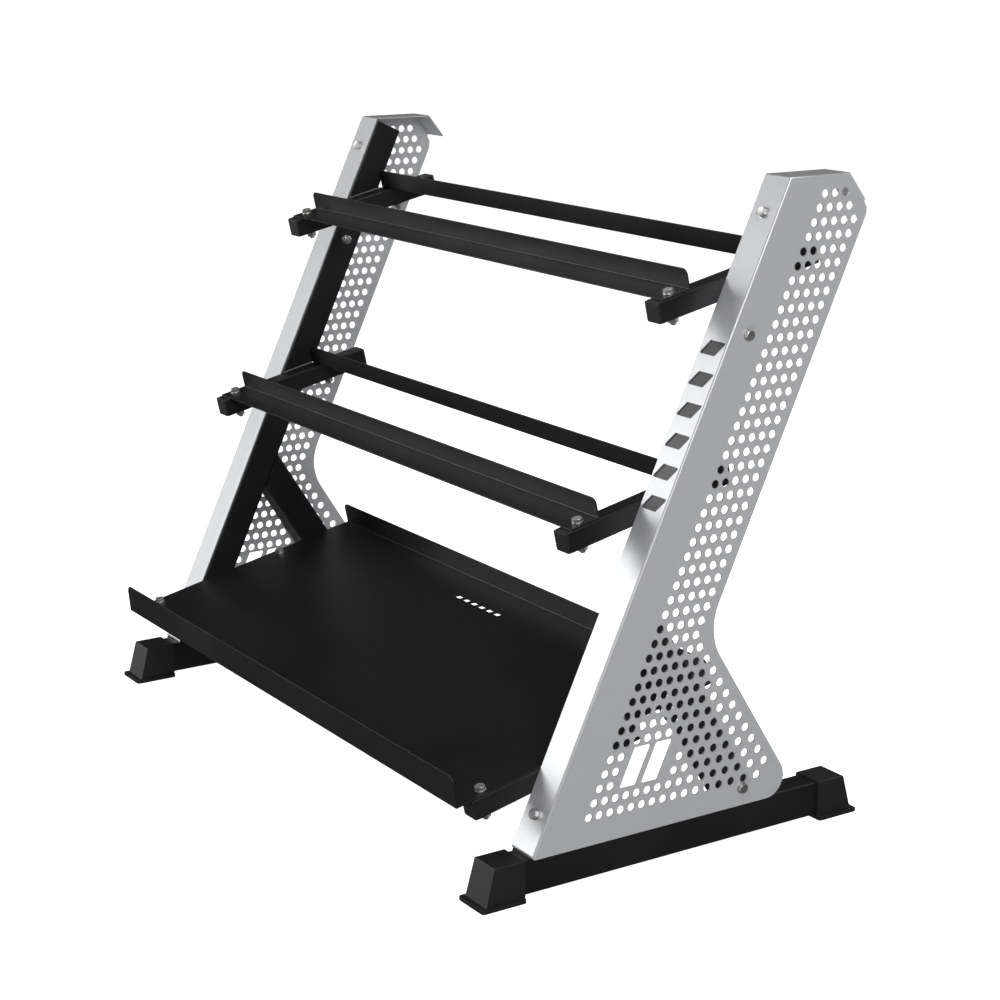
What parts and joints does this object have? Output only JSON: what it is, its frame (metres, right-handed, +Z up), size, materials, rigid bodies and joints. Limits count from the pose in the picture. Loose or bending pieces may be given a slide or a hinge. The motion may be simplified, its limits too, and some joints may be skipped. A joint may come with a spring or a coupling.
{
  "type": "dumbbell rack",
  "caption": "Free-standing tiered dumbbell rack: leaning square-tube posts on base beams, perforated side panels, angle rails on tilted arms and a deep bottom tray.",
  "frame": {"origin": "on the floor, under the middle of the rack's bounding box", "axes": "+X along the rack towards its right-hand side panel, +Y from the front to the back, +Z up"},
  "size_m": [1.1518, 0.6568, 0.9286],
  "materials": {
    "silver_powder_coat": "satin light grey powder coat",
    "black_powder_coat": "satin black powder coat",
    "black_plastic": "matt moulded black plastic",
    "zinc_steel": "bright zinc plate"
  },
  "bodies": {
    "root": {"bottom_left_arm": "black_powder_coat", "bottom_left_arm_front_cap": "black_plastic", "bottom_left_arm_rear_cap": "black_plastic", "bottom_right_arm": "black_powder_coat", "bottom_right_arm_front_cap": "black_plastic", "bottom_right_arm_rear_cap": "black_plastic", "brace_side_bolts": "zinc_steel", "brace_side_nuts": "zinc_steel", "brace_side_washers": "zinc_steel", "flange_bolts": "zinc_steel", "flange_washers": "zinc_steel", "flange_weld_nuts": "zinc_steel", "front_left_foot": "black_plastic", "front_right_foot": "black_plastic", "left_base_beam": "black_powder_coat", "left_brace": "black_powder_coat", "left_post": "black_powder_coat", "left_side_panel": "silver_powder_coat", "middle_front_rail": "black_powder_coat", "middle_front_rail_bolts": "zinc_steel", "middle_front_rail_nuts": "zinc_steel", "middle_front_rail_washers": "zinc_steel", "middle_left_arm": "black_powder_coat", "middle_left_arm_front_cap": "black_plastic", "middle_left_arm_rear_cap": "black_plastic", "middle_rear_rail": "black_powder_coat", "middle_rear_rail_bolts": "zinc_steel", "middle_rear_rail_nuts": "zinc_steel", "middle_rear_rail_washers": "zinc_steel", "middle_right_arm": "black_powder_coat", "middle_right_arm_front_cap": "black_plastic", "middle_right_arm_rear_cap": "black_plastic", "post_side_bolts": "zinc_steel", "post_side_nuts": "zinc_steel", "post_side_washers": "zinc_steel", "rear_left_foot": "black_plastic", "rear_right_foot": "black_plastic", "right_base_beam": "black_powder_coat", "right_brace": "black_powder_coat", "right_post": "black_powder_coat", "right_side_panel": "silver_powder_coat", "top_front_rail": "black_powder_coat", "top_front_rail_bolts": "zinc_steel", "top_front_rail_nuts": "zinc_steel", "top_front_rail_washers": "zinc_steel", "top_left_arm": "black_powder_coat", "top_left_arm_front_cap": "black_plastic", "top_left_arm_rear_cap": "black_plastic", "top_rear_rail": "black_powder_coat", "top_rear_rail_bolts": "zinc_steel", "top_rear_rail_nuts": "zinc_steel", "top_rear_rail_washers": "zinc_steel", "top_right_arm": "black_powder_coat", "top_right_arm_front_cap": "black_plastic", "top_right_arm_rear_cap": "black_plastic", "tray": "black_powder_coat", "tray_bolts": "zinc_steel", "tray_nuts": "zinc_steel", "tray_washers": "zinc_steel"}
  },
  "joints": []
}
